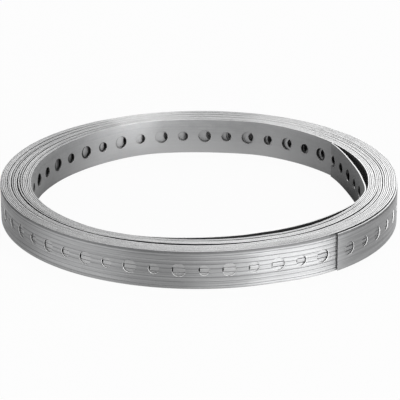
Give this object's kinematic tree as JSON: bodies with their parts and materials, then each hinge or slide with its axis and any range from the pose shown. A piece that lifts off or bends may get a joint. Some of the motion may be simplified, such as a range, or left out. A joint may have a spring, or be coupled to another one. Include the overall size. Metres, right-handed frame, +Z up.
{
  "type": "perforated metal strap coil",
  "caption": "Coil of flat perforated steel strap lying on its side, with alternate large and small fixing holes along it.",
  "frame": {"origin": "on the floor, at the centre of the coil", "axes": "+Z up along the coil's axis, -Y towards the front, with the strap's outer end at the front right and its inner end at +X"},
  "size_m": [0.2136, 0.2136, 0.02],
  "materials": {
    "strap": "satin"
  },
  "bodies": {
    "root": {"strap": "strap"}
  },
  "joints": []
}
